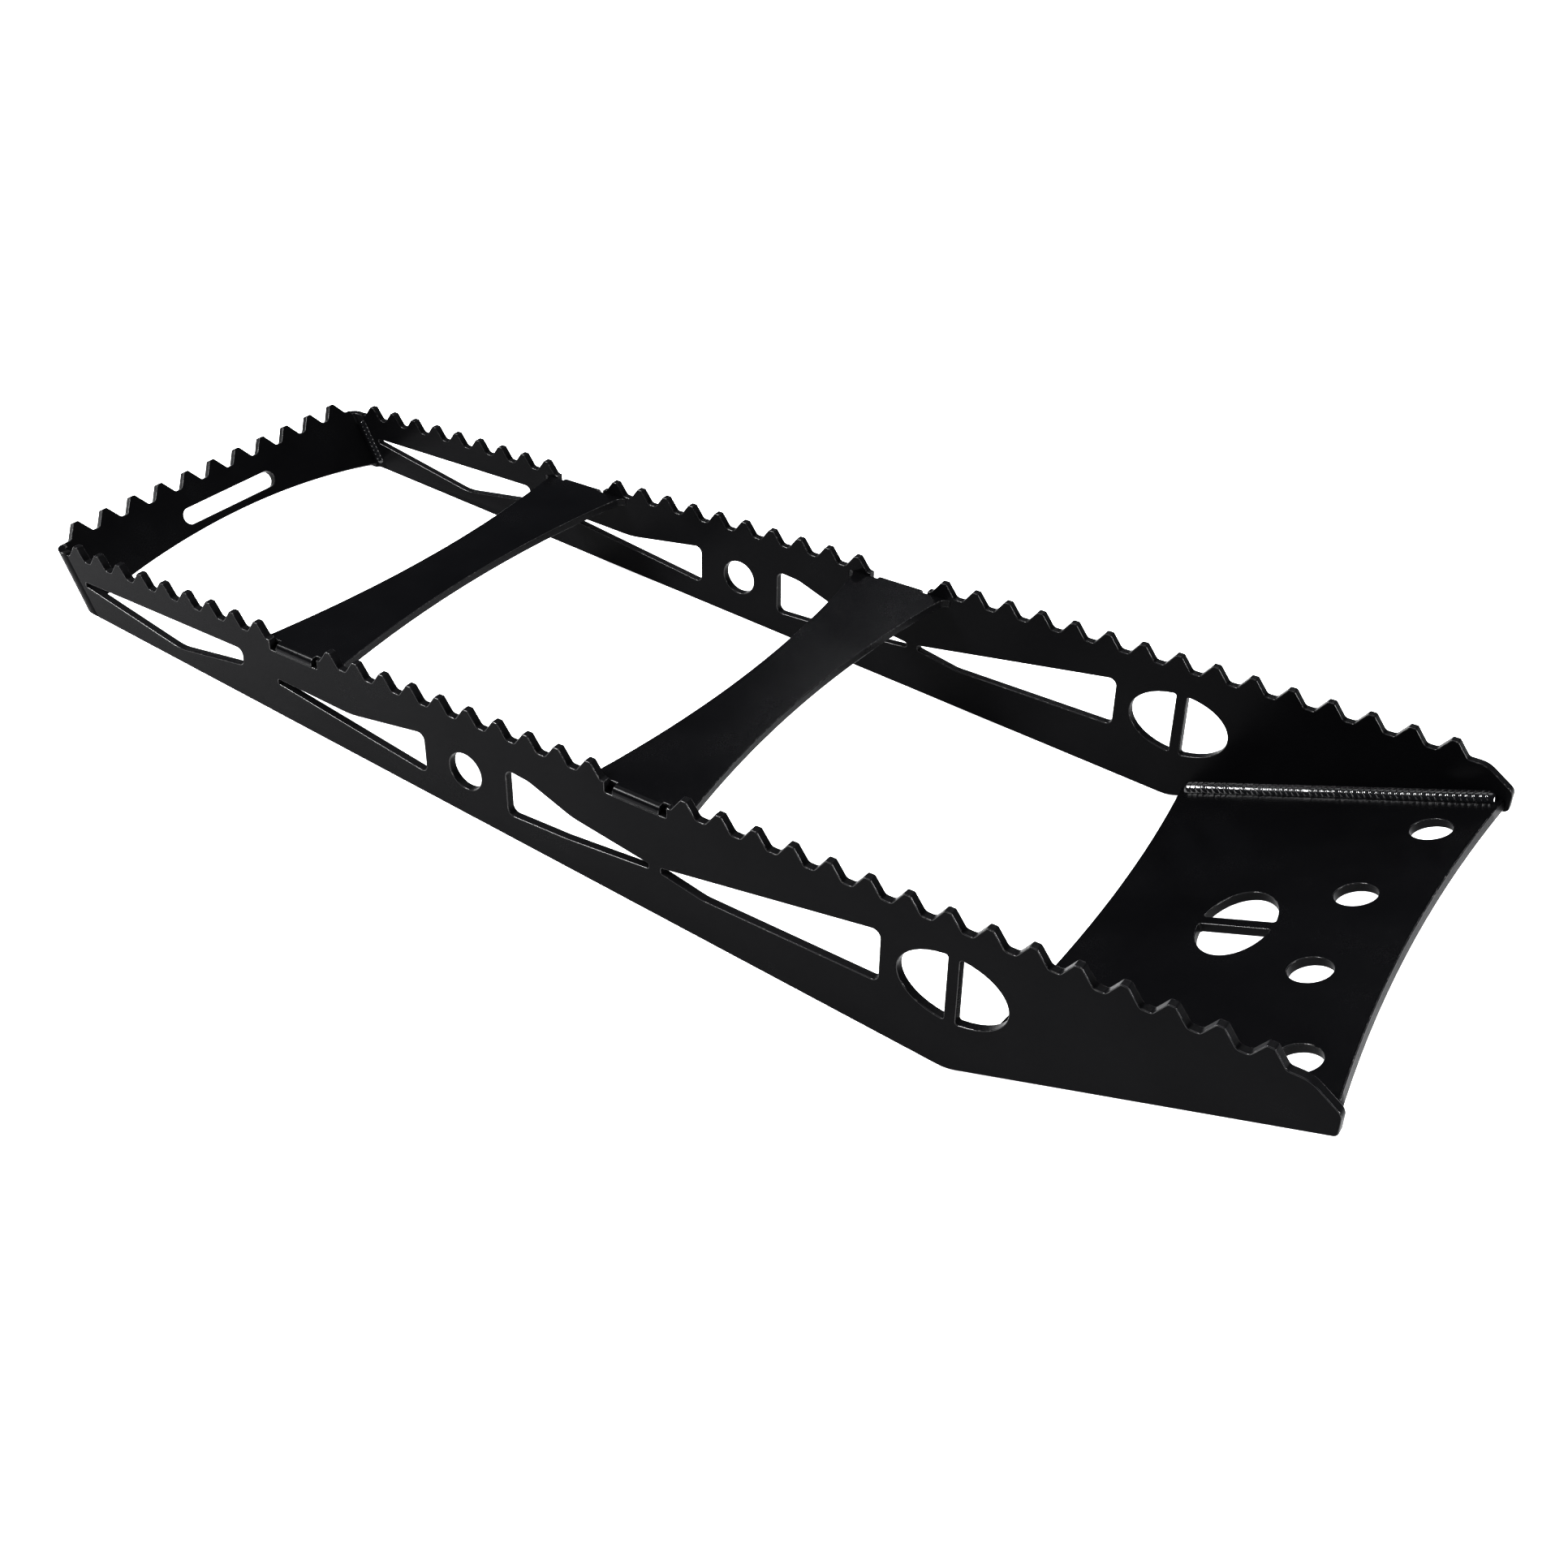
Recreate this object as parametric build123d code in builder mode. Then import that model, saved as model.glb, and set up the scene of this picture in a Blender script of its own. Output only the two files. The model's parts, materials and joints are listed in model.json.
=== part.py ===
from build123d import *
from math import asin, atan, cos, degrees, radians, sin, tan
import os

# A tire traction ladder: two toothed side plates, a toothed tail plate, two cross bands and a
# ramped nose plate, welded together. Millimetres and degrees. The ladder stands on the lower
# edges of its side plates at Z = 0, with the nose towards +X and the left side towards +Y.

# ---- driving dimensions ----
width = 260.0  # over the outer faces of the side plates
plate = 4.75  # thickness of every plate
tail_depth = 44.9  # tooth line to lower edge, at the first tooth
rake = 4.13  # rise of the tooth line towards the nose
ramp_run = 166.0  # knee to nose end, along the tooth line
nose_depth = 29.67  # tooth line to the tip of the nose
knee_radius = 24.0

pitch = 20.0  # side teeth
tooth_depth = 8.0
tip_flat = 3.4
tip_radius = 1.1
valley_flat = 5.0
valley_radius = 2.5
group_teeth = (9, 10, 15)  # side teeth behind, between and ahead of the bands
band_gap = 57.5  # last tooth of one group to the first of the next

lean = 28.4  # tail plate, outwards from square to the tooth line
corner_radius = 7.0  # outer bend radius of the rear corners
return_length = 5.5  # flat part of each return past its bend
tail_pitch = 22.0
arch_top = 38.0  # tooth line to the top of the tail's arch, down the plate
arch_end = 51.0  # the same at the rear corners
slot_length = 78.0
slot_height = 11.0
slot_drop = 27.6

nose_overhang = 30.6  # last tooth to nose end
nose_end = 11.2  # height of the blunt nose end, from its tip
nose_chamfer = 14.0  # slope from the tooth roots down to the nose end, along the tooth line
nose_chamfer_radii = (12.0, 5.0)
nose_tip_radius = 3.0
nose_lift = 2.6  # nose plate's lower face above the side plates' lower edges, at the tip
nose_inset = 1.8  # nose plate behind the side plates' tips
nose_scoop = 8.4  # hollow of the nose plate's front edge
nose_length = 158.6  # nose plate, at the sides, without its rear hollow
rear_scoop = 9.2
hole_radius = 10.0
outer_hole = (27.2, 31.2)  # behind the nose end, in from the side plate
inner_hole = (43.4, 31.6)  # behind the nose end, out from the middle
nose_oval = (17.5, 27.4)
nose_oval_back = 88.8

deck_drop = 9.4  # tooth line to the top of the bands
band_waist = 37.2
band_scoop = 10.1  # hollow of each band edge
band_flare = 5.0
band_shifts = (4.0, 0.2)  # band middle ahead of the middle of its gap
relief = 4.6  # notch at each side of a band's tongue
bend_radius = 3.6  # rounded outer edge of a tongue

side_hole_radius = 11.0
side_hole_ahead = 96.6  # ahead of the middle group's first tooth
side_hole_drop = 39.4
side_oval = (27.4, 18.6)
side_oval_drop = 41.4
web = 6.0  # bar across each oval window
window_radius = 4.0
window_tip = 3.0  # blunt height of a window's narrow end
tip_corner_radius = 1.3
broad_radii = (20.0, 30.0, 40.0, 60.0)  # where a window's long edges turn

# side windows: places along the tooth line, drops below it, and steel left above the lower edge
rear_tip = (4.0, 23.0)  # ahead of the first tooth
rear_end = (15.0, 0.6, 22.6, 33.4)  # behind the group's last tooth, its slant, top and bottom
rear_rim = (87.0, 9.4)
behind_hole_tip = (13.0, 32.6)  # ahead of the rear group's last tooth
behind_hole_brow = (70.0, 35.2)
behind_hole_end = (68.0, 26.4, 13.6)  # ahead of the middle group's first tooth
ahead_of_hole_end = (125.2, 26.6, 14.6)  # ahead of the middle group's first tooth
ahead_of_hole_brow = ((15.0, 28.2), (43.0, 38.8))  # ahead of that end
ahead_of_hole_rim = (38.0, 18.5)
ahead_of_hole_tip = (36.0, 46.4)  # ahead of the middle group's last tooth
front_tip = (14.0, 46.0)  # behind the front group's first tooth
front_rim = (11.0, 54.2)  # ahead of that tooth
front_end = (36.6, 25.6, 55.4)  # behind the knee
band_weld_leg = 4.2
nose_weld_leg = 5.0
seam_bead = (5.0, 1.5)  # width and height of the tail's inner beads
bead_end = 3.0  # plate left bare beyond each end of a weld

# ---- places that follow from them, in the tooth line's own frame (u forwards, v upwards) ----
inner = width / 2 - plate
group_ends = []
group_starts = [0.0]
for count in group_teeth:
    group_ends.append(group_starts[-1] + (count - 1) * pitch)
    group_starts.append(group_ends[-1] + band_gap)
nose_u = group_ends[-1] + nose_overhang
knee_u = nose_u - ramp_run
foot_slope = tan(radians(rake))


def foot(u):
    """Height of the straight lower edge at u."""
    return -tail_depth - foot_slope * u


tip_v = -nose_depth
ramp_angle = rake + degrees(atan((tip_v - foot(knee_u)) / ramp_run))
nose_angle = ramp_angle + degrees(asin(nose_lift / (nose_length + rear_scoop)))
lean_cos = cos(radians(lean))
lean_sin = sin(radians(lean))
seam_offset = corner_radius + return_length
seam_u = -pitch / 2  # the seams start in the valley behind the first tooth
tail_u = seam_u - seam_offset / lean_cos - tooth_depth * tan(radians(lean))


def tail_point(offset, rise):
    """Place of a point offset inwards from the tail's outer face and rise up along it."""
    return (
        tail_u + offset * lean_cos - rise * lean_sin,
        offset * lean_sin + rise * lean_cos,
    )


def tail_rise(offset, v):
    """Distance up the tail plate at which a line at that offset reaches height v."""
    return (v - offset * lean_sin) / lean_cos


def foot_rise(offset):
    """Distance up the tail plate at which a line at that offset meets the lower edge."""
    level = -tail_depth - foot_slope * (tail_u + offset * lean_cos)
    return (level - offset * lean_sin) / (lean_cos - foot_slope * lean_sin)


# ---- planes ----
rake_cos = cos(radians(rake))
rake_sin = sin(radians(rake))
rear_x = tail_u * rake_cos
front_x = nose_u * rake_cos - (tip_v + nose_tip_radius * 0.7) * rake_sin
rail = Plane(
    origin=(-(rear_x + front_x) / 2, 0, tail_depth * rake_cos),
    x_dir=(rake_cos, 0, rake_sin),
    z_dir=(0, -1, 0),
)


def rail_level(v):
    """Plane parallel to the tooth line at height v: x forwards, y to the left."""
    return Plane(origin=rail.from_local_coords((0, v, 0)), x_dir=rail.x_dir, z_dir=rail.y_dir)


def rail_section(u, v):
    """Plane square to the tooth line at (u, v): x to the left, y upwards."""
    return Plane(origin=rail.from_local_coords((u, v, 0)), x_dir=(0, 1, 0), z_dir=rail.x_dir)


tail_up = rail.from_local_coords((-lean_sin, lean_cos, 0)) - rail.origin
tail_out = rail.from_local_coords((-lean_cos, -lean_sin, 0)) - rail.origin
tail_origin = rail.from_local_coords((tail_u, 0, 0))
tail_face = Plane(origin=tail_origin, x_dir=(0, -1, 0), z_dir=tail_out)
tail_section = Plane(origin=tail_origin, x_dir=(0, 1, 0), z_dir=tail_up)

ramp_origin = rail.from_local_coords((nose_u, tip_v + nose_lift, 0))
ramp_dir = Vector(cos(radians(nose_angle)), 0, sin(radians(nose_angle)))
ramp_normal = Vector(-sin(radians(nose_angle)), 0, cos(radians(nose_angle)))
ramp = Plane(origin=ramp_origin, x_dir=ramp_dir, z_dir=ramp_normal)


# ---- shared outlines ----
def tooth_corners(middle, spacing, depth):
    """Corners (x, y, radius) of one tooth whose peak is at (middle, 0)."""
    base = (spacing - valley_flat) / 2
    return [
        (middle - base, -depth, valley_radius),
        (middle - tip_flat / 2, 0, tip_radius),
        (middle + tip_flat / 2, 0, tip_radius),
        (middle + base, -depth, valley_radius),
    ]


def rounded_face(corners):
    """Face inside a polygon of (x, y, radius) corners."""
    with BuildSketch() as sketch:
        with BuildLine():
            FilletPolyline(
                *[(x, y) for x, y, _ in corners],
                radius=[radius for _, _, radius in corners],
                close=True,
            )
        make_face()
    return sketch.sketch


def side_outline():
    """Side plate from the rear seam along the teeth to the nose and back along the foot."""
    corners = [(seam_u, -tooth_depth, 0)]
    floor_v = -deck_drop - plate
    for index, count in enumerate(group_teeth):
        start = group_starts[index]
        if index > 0:
            corners.append((start - pitch / 2, floor_v, tip_radius))
            corners.append((start - pitch / 2, -tooth_depth, 0))
        for tooth in range(count):
            corners += tooth_corners(start + tooth * pitch, pitch, tooth_depth)
        if index < len(group_teeth) - 1:
            end = group_ends[index] + pitch / 2
            corners.append((end, -tooth_depth, 0))
            corners.append((end, floor_v, tip_radius))
    upper_radius, lower_radius = nose_chamfer_radii
    corners.append((nose_u - nose_chamfer, -tooth_depth, upper_radius))
    corners.append((nose_u, tip_v + nose_end, lower_radius))
    corners.append((nose_u, tip_v, nose_tip_radius))
    corners.append((knee_u, foot(knee_u), knee_radius))
    seam_foot = tail_point(seam_offset, foot_rise(seam_offset))
    corners.append((*seam_foot, 0))
    return rounded_face(corners)


def side_windows():
    """The four tapering windows of a side plate, from the tail to the nose."""
    first_end, second_start, second_end, third_start = (
        group_ends[0],
        group_starts[1],
        group_ends[1],
        group_starts[2],
    )
    big, small = window_radius, tip_corner_radius
    turn, wide_turn, wider_turn, widest_turn = broad_radii
    rear_back, rear_slant, rear_top, rear_bottom = rear_end
    rear_u = first_end - rear_back
    rim_u, rim = rear_rim
    rear = [
        (rear_tip[0], -rear_tip[1], small),
        (rear_u, -rear_top, big),
        (rear_u - rear_slant, -rear_bottom, big),
        (rim_u, foot(rim_u) + rim, wide_turn),
        (rear_tip[0], -rear_tip[1] - window_tip, small),
    ]
    tip_u = first_end + behind_hole_tip[0]
    end_u = second_start + behind_hole_end[0]
    behind_hole = [
        (tip_u, -behind_hole_tip[1], small),
        (first_end + behind_hole_brow[0], -behind_hole_brow[1], widest_turn),
        (end_u, -behind_hole_end[1], big),
        (end_u, foot(end_u) + behind_hole_end[2], big),
        (tip_u, -behind_hole_tip[1] - window_tip, small),
    ]
    start_u = second_start + ahead_of_hole_end[0]
    rim_u = start_u + ahead_of_hole_rim[0]
    tip_u = second_end + ahead_of_hole_tip[0]
    near_brow, far_brow = ahead_of_hole_brow
    ahead_of_hole = [
        (start_u, -ahead_of_hole_end[1], big),
        (start_u + near_brow[0], -near_brow[1], turn),
        (start_u + far_brow[0], -far_brow[1], wider_turn),
        (tip_u, -ahead_of_hole_tip[1], small),
        (tip_u, -ahead_of_hole_tip[1] - window_tip, small),
        (rim_u, foot(rim_u) + ahead_of_hole_rim[1], wider_turn),
        (start_u, foot(start_u) + ahead_of_hole_end[2], big),
    ]
    end_u = knee_u - front_end[0]
    front = [
        (third_start - front_tip[0], -front_tip[1], small),
        (end_u, -front_end[1], big),
        (end_u, -front_end[2], big),
        (third_start + front_rim[0], -front_rim[1], turn),
        (third_start - front_tip[0], -front_tip[1] - window_tip, small),
    ]
    return [rounded_face(corners) for corners in (rear, behind_hole, ahead_of_hole, front)]


def barred_oval(half_x, half_y, bar_along_x):
    """Oval window crossed by one straight bar along its shorter axis."""
    with BuildSketch() as sketch:
        Ellipse(half_x, half_y)
        if bar_along_x:
            Rectangle(2 * half_x, web, mode=Mode.SUBTRACT)
        else:
            Rectangle(web, 2 * half_y, mode=Mode.SUBTRACT)
        fillet(sketch.vertices(), tip_corner_radius)
    return sketch.sketch


def finish(builder, name):
    """Name a finished piece and write it."""
    builder.part.label = name
    export_step(builder.part, f"parts/{name}.step")


os.makedirs("parts", exist_ok=True)

# ---- side plates ----
plate_outline = side_outline()
plate_windows = side_windows()
side_oval_window = barred_oval(*side_oval, bar_along_x=False)
side_hole_u = group_starts[1] + side_hole_ahead
for side_name, side_plane in (
    ("right_side_plate", rail.offset(inner)),
    ("left_side_plate", rail.offset(-width / 2)),
):
    with BuildPart() as side_plate:
        with BuildSketch(side_plane):
            add(plate_outline)
            add(plate_windows, mode=Mode.SUBTRACT)
            with Locations((side_hole_u, -side_hole_drop)):
                Circle(side_hole_radius, mode=Mode.SUBTRACT)
            with Locations((knee_u, -side_oval_drop)):
                add(side_oval_window, mode=Mode.SUBTRACT)
        extrude(amount=plate)
    finish(side_plate, side_name)

# ---- tail plate, bent forwards round both rear corners ----
tail_flat = width - 2 * corner_radius
tail_valley = -tail_rise(0, -tooth_depth)
tail_teeth = int((tail_flat - tail_pitch + valley_flat) / tail_pitch) + 1
blank = arch_end + plate + tail_depth


def bent_strip(across, reach, radius):
    """U-shaped section with rounded rear corners, as a solid block."""
    with BuildSketch() as sketch:
        Rectangle(across, reach, align=(Align.CENTER, Align.MAX))
        fillet(sketch.vertices().group_by(Axis.Y)[-1], radius)
    return sketch.sketch


outer_strip = bent_strip(width, seam_offset, corner_radius)
inner_strip = bent_strip(2 * inner, seam_offset - plate, corner_radius - plate)
tooth_waste = [(-tail_flat / 2, -tail_valley, 0)]
for tooth in range(tail_teeth):
    tooth_middle = (tooth - (tail_teeth - 1) / 2) * tail_pitch
    tooth_waste += tooth_corners(tooth_middle, tail_pitch, tail_valley)
tooth_waste += [
    (tail_flat / 2, -tail_valley, 0),
    (tail_flat / 2, pitch, 0),
    (-tail_flat / 2, pitch, 0),
]
tooth_waste_face = rounded_face(tooth_waste)
corner_waste = pitch + tooth_depth

with BuildPart() as tail_plate:
    with BuildSketch(tail_section.offset(-blank)):
        add(outer_strip)
        with Locations((0, -plate)):
            add(inner_strip, mode=Mode.SUBTRACT)
    extrude(amount=blank)
    with BuildSketch(tail_face):
        add(tooth_waste_face)
        with BuildLine():
            ThreePointArc(
                (-tail_flat / 2, -arch_end), (0, -arch_top), (tail_flat / 2, -arch_end)
            )
            Line((tail_flat / 2, -arch_end), (tail_flat / 2, -blank))
            Line((tail_flat / 2, -blank), (-tail_flat / 2, -blank))
            Line((-tail_flat / 2, -blank), (-tail_flat / 2, -arch_end))
        make_face()
        with Locations((0, -slot_drop)):
            SlotOverall(slot_length, slot_height)
    extrude(amount=seam_offset, both=True, mode=Mode.SUBTRACT)
    with BuildSketch(rail_level(-tooth_depth)):
        with GridLocations(0, width - corner_radius, 1, 2):
            with Locations((tail_u + corner_radius, 0)):
                Rectangle(4 * corner_radius, corner_radius)
    extrude(amount=corner_waste, mode=Mode.SUBTRACT)
    split(bisect_by=Plane.XY, keep=Keep.TOP)
finish(tail_plate, "tail_plate")

# ---- cross bands, lying in the side plates' recesses ----
band_names = ("rear_cross_band", "front_cross_band")
waist = band_waist / 2
shoulder = waist + band_scoop
bow = band_flare * (1 - cos(radians(45)))
tongue = band_gap - pitch - 2 * relief


def band_outline():
    """Waisted band between the side plates' inner faces, flared where it meets them."""
    with BuildSketch() as sketch:
        with BuildLine():
            for end in (-1, 1):
                ThreePointArc(
                    (end * shoulder, -inner + band_flare),
                    (end * waist, 0),
                    (end * shoulder, inner - band_flare),
                )
                for side in (-1, 1):
                    ThreePointArc(
                        (end * shoulder, side * (inner - band_flare)),
                        (end * (shoulder + bow), side * (inner - bow)),
                        (end * (shoulder + band_flare), side * inner),
                    )
                Line(
                    (-shoulder - band_flare, end * inner), (shoulder + band_flare, end * inner)
                )
        make_face()
    return sketch.sketch


waisted_band = band_outline()
for index, band_name in enumerate(band_names):
    gap_middle = group_ends[index] + band_gap / 2
    band_u = gap_middle + band_shifts[index]
    with BuildPart() as band:
        with BuildSketch(rail_level(-deck_drop)):
            with Locations((band_u, 0)):
                add(waisted_band)
            with Locations((gap_middle, 0)):
                Rectangle(tongue, width)
        extrude(amount=-plate)
        rows = band.edges().filter_by(Axis(rail.origin, rail.x_dir)).group_by(Axis.Y)
        fillet([row.sort_by(Axis.Z)[-1] for row in (rows[0], rows[-1])], bend_radius)
    finish(band, band_name)
    bead_length = 2 * (shoulder - bead_end)
    for side, side_name in ((-1, "right"), (1, "left")):
        with BuildPart() as bead:
            with BuildSketch(rail_section(band_u - bead_length / 2, -deck_drop - plate)):
                with BuildLine():
                    Polyline(
                        (side * (inner - band_weld_leg), 0),
                        (side * inner, 0),
                        (side * inner, -band_weld_leg),
                        close=True,
                    )
                make_face()
            extrude(amount=bead_length)
        finish(bead, f"{band_name}_weld_{side_name}")

# ---- nose plate, between the side plates ----
oval_window = barred_oval(*nose_oval, bar_along_x=True)
with BuildPart() as nose_plate:
    with BuildSketch(ramp):
        with BuildLine():
            ThreePointArc((-nose_inset, -inner), (-nose_inset - nose_scoop, 0), (-nose_inset, inner))
            Line((-nose_inset, inner), (-nose_length - rear_scoop, inner))
            ThreePointArc(
                (-nose_length - rear_scoop, inner),
                (-nose_length, 0),
                (-nose_length - rear_scoop, -inner),
            )
            Line((-nose_length - rear_scoop, -inner), (-nose_inset, -inner))
        make_face()
        for side in (-1, 1):
            with Locations((-outer_hole[0], side * (inner - outer_hole[1]))):
                Circle(hole_radius, mode=Mode.SUBTRACT)
            with Locations((-inner_hole[0], side * inner_hole[1])):
                Circle(hole_radius, mode=Mode.SUBTRACT)
        with Locations((-nose_oval_back, 0)):
            add(oval_window, mode=Mode.SUBTRACT)
    extrude(amount=plate)
finish(nose_plate, "nose_plate")

nose_bead_start = -nose_length - rear_scoop + bead_end
nose_bead_length = -nose_inset - bead_end - nose_bead_start
for side, side_name in ((-1, "right"), (1, "left")):
    with BuildPart() as bead:
        bead_origin = ramp.from_local_coords((nose_bead_start, 0, plate))
        with BuildSketch(Plane(origin=bead_origin, x_dir=(0, 1, 0), z_dir=ramp_dir)):
            with BuildLine():
                Polyline(
                    (side * (inner - nose_weld_leg), 0),
                    (side * inner, 0),
                    (side * inner, nose_weld_leg),
                    close=True,
                )
            make_face()
        extrude(amount=nose_bead_length)
    finish(bead, f"nose_weld_{side_name}")

# ---- beads inside the tail's butt seams ----
bead_low = foot_rise(seam_offset) + 2 * bead_end
bead_high = tail_rise(seam_offset, -tooth_depth) - bead_end
bead_width, bead_height = seam_bead
for side, side_name in ((-1, "right"), (1, "left")):
    with BuildPart() as bead:
        with BuildSketch(tail_section.offset(bead_low)):
            with BuildLine():
                ThreePointArc(
                    (side * inner, -corner_radius),
                    (side * (inner - bead_height), -corner_radius - bead_width / 2),
                    (side * inner, -corner_radius - bead_width),
                )
                Line((side * inner, -corner_radius - bead_width), (side * inner, -corner_radius))
            make_face()
        extrude(amount=bead_high - bead_low)
    finish(bead, f"tail_weld_{side_name}")
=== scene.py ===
import json
import math

import bmesh
import bpy
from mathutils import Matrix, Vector, noise
from mathutils.bvhtree import BVHTree


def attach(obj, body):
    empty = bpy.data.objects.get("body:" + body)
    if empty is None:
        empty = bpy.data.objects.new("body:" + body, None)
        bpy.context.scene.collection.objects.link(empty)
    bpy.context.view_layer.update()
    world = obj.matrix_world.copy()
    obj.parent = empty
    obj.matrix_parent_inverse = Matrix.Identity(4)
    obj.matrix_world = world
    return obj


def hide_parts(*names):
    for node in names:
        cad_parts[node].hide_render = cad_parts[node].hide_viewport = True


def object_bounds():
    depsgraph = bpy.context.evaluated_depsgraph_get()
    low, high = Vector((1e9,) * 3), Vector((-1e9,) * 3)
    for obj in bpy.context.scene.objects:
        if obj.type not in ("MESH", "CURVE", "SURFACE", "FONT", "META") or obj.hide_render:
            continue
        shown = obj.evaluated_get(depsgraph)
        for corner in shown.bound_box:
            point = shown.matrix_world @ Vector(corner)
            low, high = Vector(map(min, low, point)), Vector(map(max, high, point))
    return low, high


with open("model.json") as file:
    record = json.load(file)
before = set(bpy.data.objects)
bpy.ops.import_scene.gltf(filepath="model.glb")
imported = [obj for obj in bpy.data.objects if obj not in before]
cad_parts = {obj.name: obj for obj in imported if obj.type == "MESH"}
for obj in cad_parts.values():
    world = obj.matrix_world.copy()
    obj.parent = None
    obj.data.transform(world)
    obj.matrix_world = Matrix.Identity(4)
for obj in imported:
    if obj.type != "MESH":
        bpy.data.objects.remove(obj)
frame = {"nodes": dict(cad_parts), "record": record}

# A gloss black welded traction ladder on a white studio floor, in metres. The plates are the CAD
# plates with eased edges, and the weld beads are rippled along the CAD beads.

cad_low, cad_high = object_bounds()
middle = (cad_low + cad_high) / 2

# ---- plates ----
edge_ease = 0.00045  # rounding of a cut edge under the coat
edge_segments = 2
weld_gap = 1e-6  # vertices nearer than this are one
touch_gap = 2e-5  # a seam is where two plates come this near
flat_angle = math.radians(0.4)  # faces that meet more flatly than this are one
sharp_angle = math.radians(28)  # edges sharper than this are eased
edge_on = 0.3  # a face is a cut face if its normal leans less than this out of the plate's plane

# ---- weld beads ----
ripple_pitch = 0.0031
ripple_height = 0.0006
ripple_crescent = 0.62  # how far a ripple bows along the bead, in pitches
ripple_jitter = 0.25  # how far a ripple strays along the bead, in pitches
jitter_waves = 130  # strays per metre
ripple_front = 9  # steepness of a ripple's short side
ripple_back = 0.7  # power of its long side
ripple_share = (0.75, 0.5)  # usual share of the full height, and how much that varies
height_waves = 0.7  # changes of height per ripple
bead_crown = 0.0007
bead_wander = 0.0625  # how much the toes wander, as a share of the bead's width
wander_waves = 210  # wanderings per metre
bead_step = 0.00035  # spacing of the rows of points along a bead
bead_turns = 14  # faces across a bead
bead_end_round = 0.0028
bead_end_width = 0.55  # share of the width that is left at the very end
bead_end_drop = 0.0012
bead_sink = 0.0004  # how far the toes reach into the plates
bead_root = 0.0008  # how far the hidden back reaches past the toes
name_seed = 0.37  # sets each bead's noise apart by its name

# ---- black powder coat: noise in waves per metre, colours, roughness and depths ----
cloud_waves = 26.0
cloud_range = (0.3, 0.7)
cloud_roughness = (-0.05, 0.06)
fine_waves = 1700.0
fine_roughness = (-0.02, 0.03)
peel_waves = 620.0
peel_depth = 0.000012
mark_depth = 0.00009
speckle_waves = 420.0
speckle_range = (0.56, 0.66)
coat_dark = (0.0030, 0.0030, 0.0036, 1)
coat_light = (0.0062, 0.0062, 0.0070, 1)
cut_colour = (0.016, 0.016, 0.017, 1)
cut_share = 0.35
cut_roughness = 0.10
# grey for eased corners: partly a thin worn coat, partly a painted glint on the edges
thin_coat_and_glint_colour = (0.085, 0.083, 0.08, 1)
thin_coat_and_glint_share = 0.55
corner_level = 0.5  # the coat is drawn tight and shines on an eased corner
side_marks = (2600.0, 120.0, 2600.0)  # cut marks run across the thickness of a plate
deck_marks = (2600.0, 2600.0, 160.0)
bead_marks = (2600.0, 2600.0, 2600.0)

# ---- floor ----
floor_size = 40.0
floor_cells = 40
floor_glow = 0.80  # the paper is also lit from beneath, which takes away most of the shadow
floor_gap = 0.00002  # the paper lies this far below the ladder
level_radius = 2.0  # the paper is flat this far out
floor_sag = 0.002  # per metre beyond that
paper_waves = 900.0
paper_depth = 0.00003

# ---- light and camera ----
key_direction = (-0.7, 0.9, 3.2)  # high up, behind the tail
key_power = 2.1
key_angle = math.radians(60)
boxes = (  # name, place, target, power, width, height
    ("box_near", (-1.37, -0.99, 1.55), (0.3, 0.12, 0.06), 110, 1.1, 0.45),
    ("strip_far", (-0.6, 2.2, 1.6), (0.1, 0, 0.05), 8, 1.4, 0.05),
    ("box_front", (2.2, 0.1, 1.0), (0.3, -0.13, 0.06), 70, 0.9, 0.6),
)
world_colour = (0.80, 0.86, 1.0, 1)
world_strength = 0.16
picture_gamma = 0.72  # deep blacks
camera_offset = Vector((0.4464, -0.6720, 0.5466))  # from the middle of the ladder
camera_turn = (58.163, -2.054, 36.611)
camera_lens = 40.30
camera_shift = (0.0846, -0.1210)
camera_clip = (0.01, 50.0)


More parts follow.
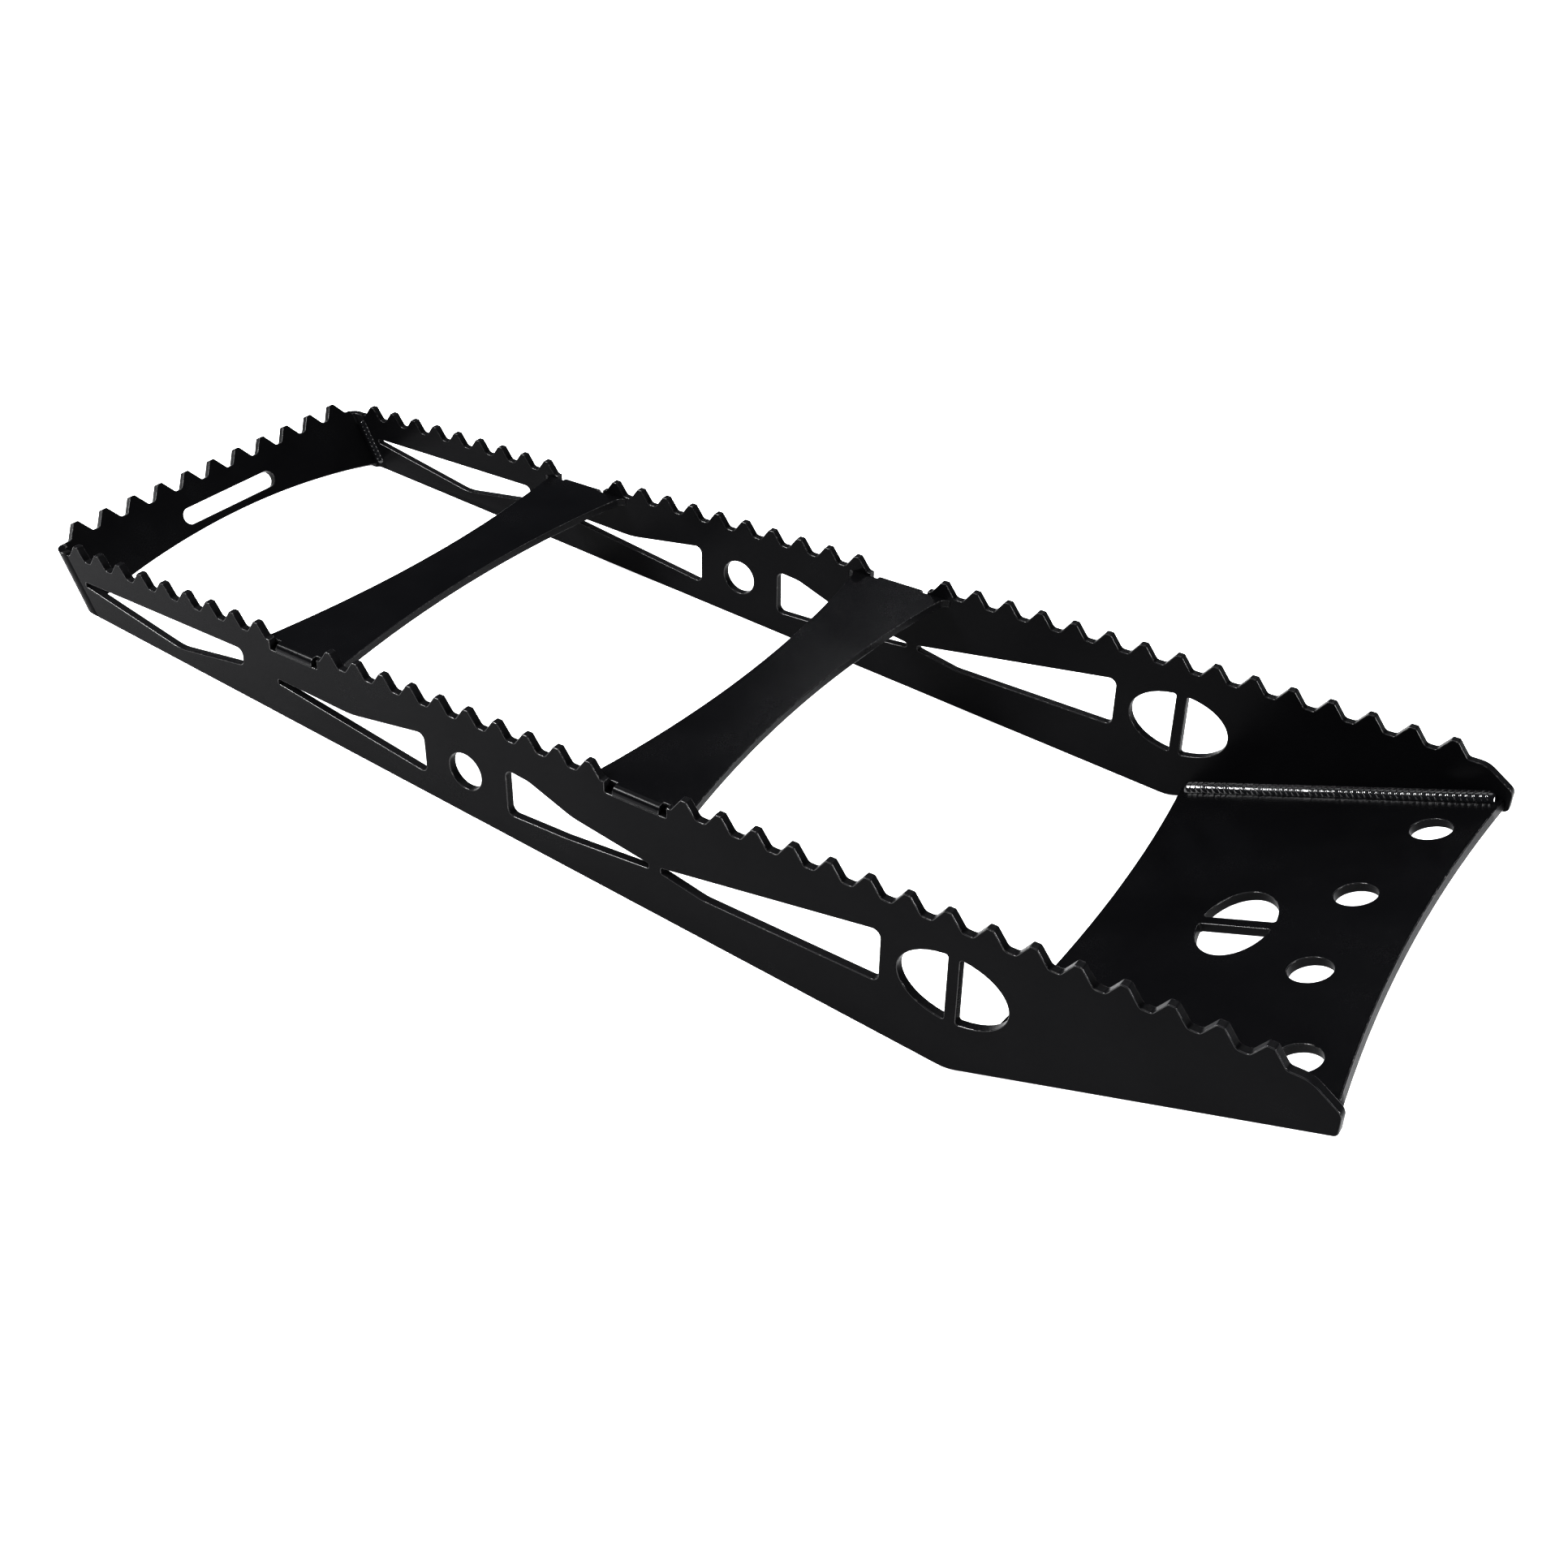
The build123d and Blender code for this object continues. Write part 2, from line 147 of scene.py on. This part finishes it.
# ---- materials ----
class Nodes:
    """A short way to add nodes to one new material."""

    def __init__(self, name):
        self.material = bpy.data.materials.new(name)
        self.material.use_nodes = True
        self.tree = self.material.node_tree
        self.tree.nodes.clear()
        output = self.tree.nodes.new("ShaderNodeOutputMaterial")
        self.shader = self.tree.nodes.new("ShaderNodeBsdfPrincipled")
        self.tree.links.new(self.shader.outputs[0], output.inputs["Surface"])
        self.place = self.tree.nodes.new("ShaderNodeTexCoord").outputs["Object"]

    def feed(self, node, values):
        """Sets or links a node's sockets, each given by name or number."""
        for key, value in values.items():
            if isinstance(value, bpy.types.NodeSocket):
                self.tree.links.new(value, node.inputs[key])
            else:
                node.inputs[key].default_value = value

    def add(self, kind, values, **settings):
        """A new node with those socket values and settings."""
        node = self.tree.nodes.new(kind)
        for key, value in settings.items():
            setattr(node, key, value)
        self.feed(node, values)
        return node

    def noise(self, waves, detail, stretch=None):
        """Grain from about 0 to 1; waves per metre, times the stretch along X, Y and Z."""
        place = self.place
        if stretch:
            place = self.add("ShaderNodeMapping", {"Vector": place, "Scale": stretch}).outputs[0]
        grain = {"Vector": place, "Scale": waves, "Detail": detail}
        return self.add("ShaderNodeTexNoise", grain).outputs[0]

    def remap(self, value, span, to_span):
        """The value with one span mapped to another, clamped."""
        sockets = {0: value, 1: span[0], 2: span[1], 3: to_span[0], 4: to_span[1]}
        return self.add("ShaderNodeMapRange", sockets).outputs[0]

    def mix(self, share, first, second):
        """Colour between first and second."""
        sockets = {0: share, 6: first, 7: second}
        return self.add("ShaderNodeMix", sockets, data_type="RGBA").outputs[2]

    def sum(self, first, second):
        return self.add("ShaderNodeMath", {0: first, 1: second}, operation="ADD").outputs[0]

    def product(self, first, second):
        return self.add("ShaderNodeMath", {0: first, 1: second}, operation="MULTIPLY").outputs[0]

    def mask(self, name):
        """A piece's own attribute, as a number."""
        return self.add("ShaderNodeAttribute", {}, attribute_name=name).outputs["Fac"]

    def bump(self, height, depth, under=None):
        """A normal bent by that height, on top of another one if given."""
        sockets = {"Height": height, "Distance": depth, "Strength": 1.0}
        if under:
            sockets["Normal"] = under
        return self.add("ShaderNodeBump", sockets).outputs[0]


def powder_coat(name, cut_marks, level, roughness):
    """Gloss black powder coat: orange peel on faces, cut marks on edges, and grey speckles on
    eased corners that are partly a thin worn coat and partly a painted glint.
    """
    n = Nodes(name)
    cloud = n.noise(cloud_waves, 3.0)
    fine = n.noise(fine_waves, 2.0)
    peel = n.noise(peel_waves, 1.5)
    marks = n.noise(1.0, 2.0, stretch=cut_marks)
    speckle = n.remap(n.noise(speckle_waves, 3.0), speckle_range, (0.0, 1.0))
    cut = n.mask("cut")
    corner = n.mask("corner")
    # eased corners lightened in speckles: partly a thin worn coat, partly a painted glint
    worn_and_glint = n.product(corner, speckle)
    base = n.mix(cloud, coat_dark, coat_light)
    dusty = n.mix(n.product(cut, cut_share), base, cut_colour)
    cloud_span = [roughness + change for change in cloud_roughness]
    coarse = n.sum(n.remap(cloud, cloud_range, cloud_span), n.product(cut, cut_roughness))
    peeled = n.bump(peel, peel_depth)
    values = {
        "Base Color": n.mix(n.product(worn_and_glint, thin_coat_and_glint_share), dusty, thin_coat_and_glint_colour),
        "Roughness": n.sum(coarse, n.remap(fine, cloud_range, fine_roughness)),
        "Normal": n.bump(n.product(marks, cut), mark_depth, peeled),
        "Specular IOR Level": n.remap(corner, (0.0, 1.0), (level, max(level, corner_level))),
        "IOR": 1.5,
    }
    n.feed(n.shader, values)
    return n.material


def floor_paper():
    """Seamless white paper with a faint tooth."""
    n = Nodes("white_paper")
    grain = n.noise(paper_waves, 3.0)
    values = {
        "Base Color": n.mix(grain, (0.90, 0.90, 0.90, 1), (0.93, 0.93, 0.93, 1)),
        "Roughness": n.remap(grain, (0.3, 0.7), (0.85, 0.95)),
        "Normal": n.bump(grain, paper_depth),
        "Specular IOR Level": 0.1,
        "Emission Color": (1, 1, 1, 1),
        "Emission Strength": floor_glow,
    }
    n.feed(n.shader, values)
    return n.material


# ---- meshes ----
def welded_mesh(node):
    """A CAD node's mesh as one closed bmesh, its flat faces whole."""
    shape = bmesh.new()
    shape.from_mesh(node.data)
    bmesh.ops.remove_doubles(shape, verts=shape.verts, dist=weld_gap)
    bmesh.ops.dissolve_limit(
        shape,
        angle_limit=flat_angle,
        verts=shape.verts,
        edges=shape.edges,
        use_dissolve_boundaries=False,
    )
    return shape


def on_a_neighbour(edge, trees):
    """True where the whole edge lies on another plate, as along a seam."""
    first, last = (vertex.co for vertex in edge.verts)
    points = (first, (first + last) / 2, last)
    return any(
        all((tree.find_nearest(point)[3] or 0.0) < touch_gap for point in points) for tree in trees
    )


def new_piece(name, shape, node, material):
    """A finished bmesh as a piece that stands for its CAD node."""
    mesh = bpy.data.meshes.new(name)
    shape.to_mesh(mesh)
    shape.free()
    mesh.shade_smooth()
    mesh.materials.append(material)
    piece = bpy.data.objects.new(name, mesh)
    bpy.context.scene.collection.objects.link(piece)
    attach(piece, "root")
    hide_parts(node)
    return piece


def largest_face_normal(node):
    """The direction through the thickness of a node's plate."""
    return max(frame["nodes"][node].data.polygons, key=lambda face: face.area).normal.copy()


def eased_plate(node, trees, material):
    """The node's plate with its cut edges rounded and its seams left tight."""
    through = largest_face_normal(node)
    shape = welded_mesh(frame["nodes"][node])
    cut = shape.faces.layers.float.new("cut")
    corner = shape.faces.layers.float.new("corner")
    sharp = [
        edge
        for edge in shape.edges
        if edge.is_manifold
        and edge.calc_face_angle() > sharp_angle
        and not on_a_neighbour(edge, trees)
    ]
    made = bmesh.ops.bevel(
        shape,
        geom=sharp,
        offset=edge_ease,
        offset_type="OFFSET",
        segments=edge_segments,
        profile=0.5,
        affect="EDGES",
        clamp_overlap=False,
        loop_slide=False,
    )
    shape.normal_update()
    for face in shape.faces:
        face[cut] = 1.0 if abs(face.normal.dot(through)) < edge_on else 0.0
    for face in made["faces"]:
        face[corner] = 1.0
    piece = new_piece(f"{node}_eased", shape, node, material)
    piece.modifiers.new("even_normals", "WEIGHTED_NORMAL").keep_sharp = True


def bead_run(node):
    """A straight CAD bead's end outline, the unit direction of its run, and its length."""
    shape = welded_mesh(frame["nodes"][node])
    longest = max(shape.edges, key=lambda edge: edge.calc_length())
    along = (longest.verts[1].co - longest.verts[0].co).normalized()
    if along.x + along.z < 0:
        along.negate()
    halfway = sum((vertex.co.dot(along) for vertex in shape.verts)) / len(shape.verts)
    start = [vertex.co.copy() for vertex in shape.verts if vertex.co.dot(along) < halfway]
    length = 2 * (halfway - start[0].dot(along))
    shape.free()
    return start, along, length


def bead_section(outline):
    """The two toes of a bead's outline, the unit direction in which it bulges, and how far."""
    pairs = [(a, b) for i, a in enumerate(outline) for b in outline[i + 1:]]
    toe_a, toe_b = max(pairs, key=lambda pair: (pair[0] - pair[1]).length)
    rest = [point for point in outline if point is not toe_a and point is not toe_b]
    centre = sum(rest, Vector()) / len(rest)
    lift = (toe_a + toe_b) / 2 - centre
    fillet = len(rest) == 1  # its one other point is the root, behind the toes
    outwards = lift.normalized() if fillet else -lift.normalized()
    height = 0.0 if fillet else max((point - toe_a).dot(outwards) for point in rest)
    return toe_a, toe_b, outwards, height


def wobble(x, y, z):
    """Smooth noise at a point, from about -1 to 1."""
    return noise.noise(Vector((x, y, z)))


def ripple(travel, dome, seed):
    """Share of the ripple height, that far along a bead; dome is 0 at a toe, 1 at the crown."""
    stray = ripple_jitter * wobble(travel * jitter_waves, seed, 0)
    phase = travel / ripple_pitch + ripple_crescent * dome + stray
    saw = phase - math.floor(phase)
    crest = (1 - saw) ** ripple_back * min(1.0, saw * ripple_front)
    usual, spread = ripple_share
    return crest * (usual + spread * wobble(math.floor(phase) * height_waves, seed, 3))


def bead_skin(shape, rows, outwards):
    """Faces over the rows of points, behind them, and across both ends."""
    for first, second in zip(rows, rows[1:]):
        for i in range(bead_turns):
            shape.faces.new((first[i], first[i + 1], second[i + 1], second[i]))
    back = [
        shape.verts.new((row[0].co + row[-1].co) / 2 - outwards * bead_root) for row in rows
    ]
    for (first, second), (low, high) in zip(zip(rows, rows[1:]), zip(back, back[1:])):
        shape.faces.new((first[0], second[0], high, low))
        shape.faces.new((second[-1], first[-1], low, high))
    for row, root in ((rows[0], back[0]), (rows[-1], back[-1])):
        for i in range(bead_turns):
            shape.faces.new((row[i], row[i + 1], root))
    bmesh.ops.recalc_face_normals(shape, faces=shape.faces)


def rippled_bead(node, material):
    """A hand-laid bead along a CAD bead: crescent ripples, wandering toes and round ends."""
    outline, along, length = bead_run(node)
    toe_a, toe_b, outwards, height = bead_section(outline)
    base = (toe_a + toe_b) / 2
    seed = sum(ord(letter) for letter in node) * name_seed
    steps = int(length / bead_step)
    shape = bmesh.new()
    rows = []
    for step in range(steps + 1):
        travel = length * step / steps
        from_end = min(travel, length - travel)
        swell = math.sqrt(max(0.0, 1 - (1 - min(1.0, from_end / bead_end_round)) ** 2))
        width = bead_end_width + (1 - bead_end_width) * swell
        row = []
        for turn in range(bead_turns + 1):
            share = turn / bead_turns
            dome = math.sin(math.pi * share)
            wander = 1 + bead_wander * wobble(travel * wander_waves, seed, share * 2)
            across = (toe_b - toe_a) * (share - 0.5) * wander * width
            rise = (height + bead_crown) * dome
            rise += ripple_height * ripple(travel, dome, seed) * dome**0.5
            sink = bead_sink * (1 - dome) + bead_end_drop * (1 - swell)
            row.append(
                shape.verts.new(base + along * travel + across + outwards * (rise * swell - sink))
            )
        rows.append(row)
    bead_skin(shape, rows, outwards)
    new_piece(f"{node}_bead", shape, node, material)


# ---- studio ----
def make_floor():
    """A large sheet of paper under the ladder, gently uneven far out."""
    shape = bmesh.new()
    bmesh.ops.create_grid(
        shape, x_segments=floor_cells, y_segments=floor_cells, size=floor_size / 2
    )
    for vertex in shape.verts:
        far = max(0.0, vertex.co.length - level_radius)
        sag = floor_sag * far * abs(noise.noise(vertex.co))
        vertex.co.z = cad_low.z - floor_gap - sag
    mesh = bpy.data.meshes.new("floor")
    shape.to_mesh(mesh)
    shape.free()
    mesh.shade_smooth()
    mesh.materials.append(floor_paper())
    floor = bpy.data.objects.new("floor", mesh)
    bpy.context.scene.collection.objects.link(floor)


def add_light(name, kind, place, target, power, **settings):
    """A light at place, aimed at target."""
    data = bpy.data.lights.new(name, kind)
    data.energy = power
    for key, value in settings.items():
        setattr(data, key, value)
    light = bpy.data.objects.new(name, data)
    light.location = place
    light.rotation_mode = "QUATERNION"
    light.rotation_quaternion = (Vector(target) - Vector(place)).to_track_quat("-Z", "Y")
    bpy.context.scene.collection.objects.link(light)


def make_lights():
    """A broad soft key, a box that the nose welds mirror, and two more for the edges."""
    add_light("key", "SUN", key_direction, (0, 0, 0), key_power, angle=key_angle)
    for name, place, target, power, width, height in boxes:
        size = {"shape": "RECTANGLE", "size": width, "size_y": height}
        add_light(name, "AREA", place, target, power, **size)
    world = bpy.data.worlds.new("studio")
    world.use_nodes = True
    background = world.node_tree.nodes["Background"]
    background.inputs["Color"].default_value = world_colour
    background.inputs["Strength"].default_value = world_strength
    bpy.context.scene.world = world


def make_camera():
    """The view over the near side, from the nose end."""
    data = bpy.data.cameras.new("camera")
    data.lens = camera_lens
    data.shift_x, data.shift_y = camera_shift
    data.clip_start, data.clip_end = camera_clip
    camera = bpy.data.objects.new("camera", data)
    camera.location = middle + camera_offset
    camera.rotation_euler = [math.radians(turn) for turn in camera_turn]
    bpy.context.scene.collection.objects.link(camera)
    bpy.context.scene.camera = camera


# ---- the ladder ----
def nodes_in(slot_name):
    """Names of the CAD nodes with that material slot."""
    return [
        part["node"]
        for part in frame["record"]["subparts"]
        if part["material_slot"] == slot_name
    ]


plate_trees = {}
for plate_node in nodes_in("plates"):
    plate_shape = welded_mesh(frame["nodes"][plate_node])
    plate_trees[plate_node] = BVHTree.FromBMesh(plate_shape)
    plate_shape.free()

side_coat = powder_coat("side_plate_coat", side_marks, level=0.05, roughness=0.20)
deck_coat = powder_coat("deck_plate_coat", deck_marks, level=0.09, roughness=0.22)
bead_coat = powder_coat("weld_bead_coat", bead_marks, level=0.9, roughness=0.16)
for plate_node in plate_trees:
    others = [tree for other, tree in plate_trees.items() if other != plate_node]
    coat = side_coat if "side_plate" in plate_node else deck_coat
    eased_plate(plate_node, others, coat)
for bead_node in nodes_in("welds"):
    rippled_bead(bead_node, bead_coat)

make_floor()
make_lights()
make_camera()
bpy.context.scene.view_settings.view_transform = "Standard"
bpy.context.scene.view_settings.gamma = picture_gamma
